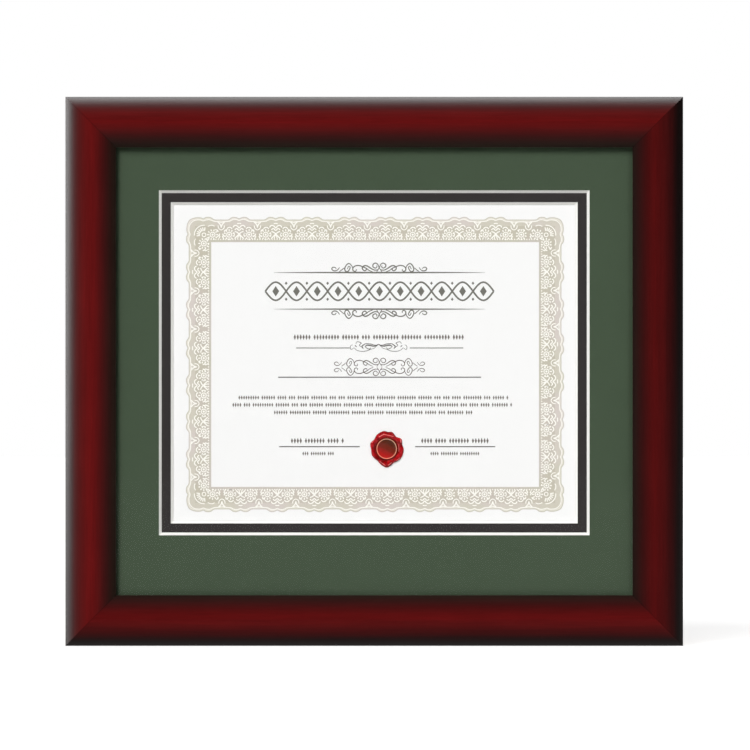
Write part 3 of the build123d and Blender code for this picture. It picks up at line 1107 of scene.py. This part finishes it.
def wax():
    """Sealing wax: a middle with painted light, bright red to the lower left and dark brown to the
    upper right, a pale rim round it, also painted lighter to the lower left, painted shade in the
    groove, and glossy red wax outside with painted pale highlights along its folds."""
    shader = Shader("seal_wax")
    x = shader.maths("SUBTRACT", shader.axis("X"), seal_centre[0] * mm)
    z = shader.maths("SUBTRACT", shader.axis("Z"), seal_centre[1] * mm)
    flat = shader.add("ShaderNodeCombineXYZ", {0: x, 2: z})
    radius = shader.add("ShaderNodeVectorMath", {0: flat}, 1, operation="LENGTH")
    radius = shader.maths("DIVIDE", radius, seal_reach * mm)
    # Painted light: the middle and the rim are lit to the lower left and shaded to the upper right.
    slant = shader.plus(z, x, 0.5)
    glow = shader.maths("ADD", slant, seal_painted_light_reach)
    glow = shader.maths("DIVIDE", glow, 2 * seal_painted_light_reach, clamp=True)
    disc = shader.ramp(glow, ((0.08, screen(184, 32, 30)), (0.30, screen(156, 34, 30)),
                              (0.50, screen(116, 36, 22)), (0.92, screen(76, 28, 4))), "EASE")
    rim = shader.mix(glow, screen(255, 138, 112), screen(206, 158, 128))
    streaks = shader.noise(2.2 * mm, 3.0)
    outside = shader.ramp(streaks, ((0.36, screen(112, 4, 6)), (0.50, screen(156, 6, 12)),
                                    (0.64, screen(188, 18, 26))))
    # Painted shade: the wax is darker in the groove round the rim.
    groove = shader.step(radius, *seal_groove)
    outside = shader.mix(groove, screen(98, 12, 4), outside)
    in_rim = shader.step(radius, *seal_rim_inside)
    past_rim = shader.step(radius, *seal_rim_outside)
    # Painted highlights: pale streaks along the folds, where the wax would shine.
    painted_highlights = 0.0
    for turn, share, far_turn, far_share, width in seal_shines:
        ends = [Vector((math.cos(angle), 0.0, math.sin(angle))) * seal_reach * mm * reach
                for angle, reach in ((math.radians(turn), share),
                                     (math.radians(far_turn), far_share))]
        near = shader.step(shader.to_line(flat, *ends), width * seal_reach * mm, 0.0)
        painted_highlights = shader.maths("MAXIMUM", near, painted_highlights)
    painted_highlights = shader.maths("MULTIPLY", painted_highlights, shader.step(streaks, 0.26, 0.46))
    outside = shader.mix(painted_highlights, outside, screen(255, 136, 134))
    colour = shader.mix(in_rim, disc, rim)
    colour = shader.mix(past_rim, colour, outside)
    return shader.finish(colour, 0.2, shader.bump(streaks, 0.05 * mm), IOR=1.3)


def seal_radius(turn):
    """The seal's reach at a share of a turn, smooth all the way round."""
    shares, sizes = zip(*seal_lobes)
    near = turn + np.linspace(-seal_softness, seal_softness, 5)
    return seal_reach * np.interp(near, shares, sizes, period=1.0).mean()


def add_seal():
    """A poured seal: a rolled and lobed rim of wax round the die's shallow dish and its ring."""
    centre_x, centre_z = seal_centre
    points = [(centre_x * mm, sheet_front - seal_middle_height * mm, centre_z * mm)]
    for k in range(seal_sectors):
        angle = math.tau * k / seal_sectors
        reach = seal_radius(k / seal_sectors)
        lobe = reach / seal_reach - seal_mean_share
        rings = list(seal_die)
        start = seal_die[-1][0]
        for share, height in seal_roll:
            fold = sum(depth * math.sin(count * angle + twist * share)
                       for depth, count, twist in seal_folds)
            swell = 1 + (fold + lobe * seal_lobe_swell) * math.sin(math.pi * share)
            rings.append((start + (reach - start) * share, height * swell))
        for radius, height in rings:
            points.append(((centre_x + radius * math.cos(angle)) * mm,
                           sheet_front - min(height, seal_most_height) * mm,
                           (centre_z + radius * math.sin(angle)) * mm))
    count = len(seal_die) + len(seal_roll)
    faces = []
    for k in range(seal_sectors):
        here, following = 1 + k * count, 1 + (k + 1) % seal_sectors * count
        faces.append([0, here, following])
        for i in range(count - 1):
            faces.append([here + i, here + i + 1, following + i + 1, following + i])
    faces.append([(k + 1) * count for k in reversed(range(seal_sectors))])
    seal = add_piece("wax_seal_poured", points, faces, wax())
    seal.data.shade_smooth()
    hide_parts("wax_seal")


set_camera()
set_world()
add_floor()
add_sun("key", key_direction, key_strength, key_angle, False)
add_sun("back_fill", back_direction, back_strength, back_angle, True)
for name, place in panel_places.items():
    add_panel(name, place)
for name, corners in card_corners.items():
    add_card(name, corners)
dress_frame()
add_print()
add_pane()
add_seal()
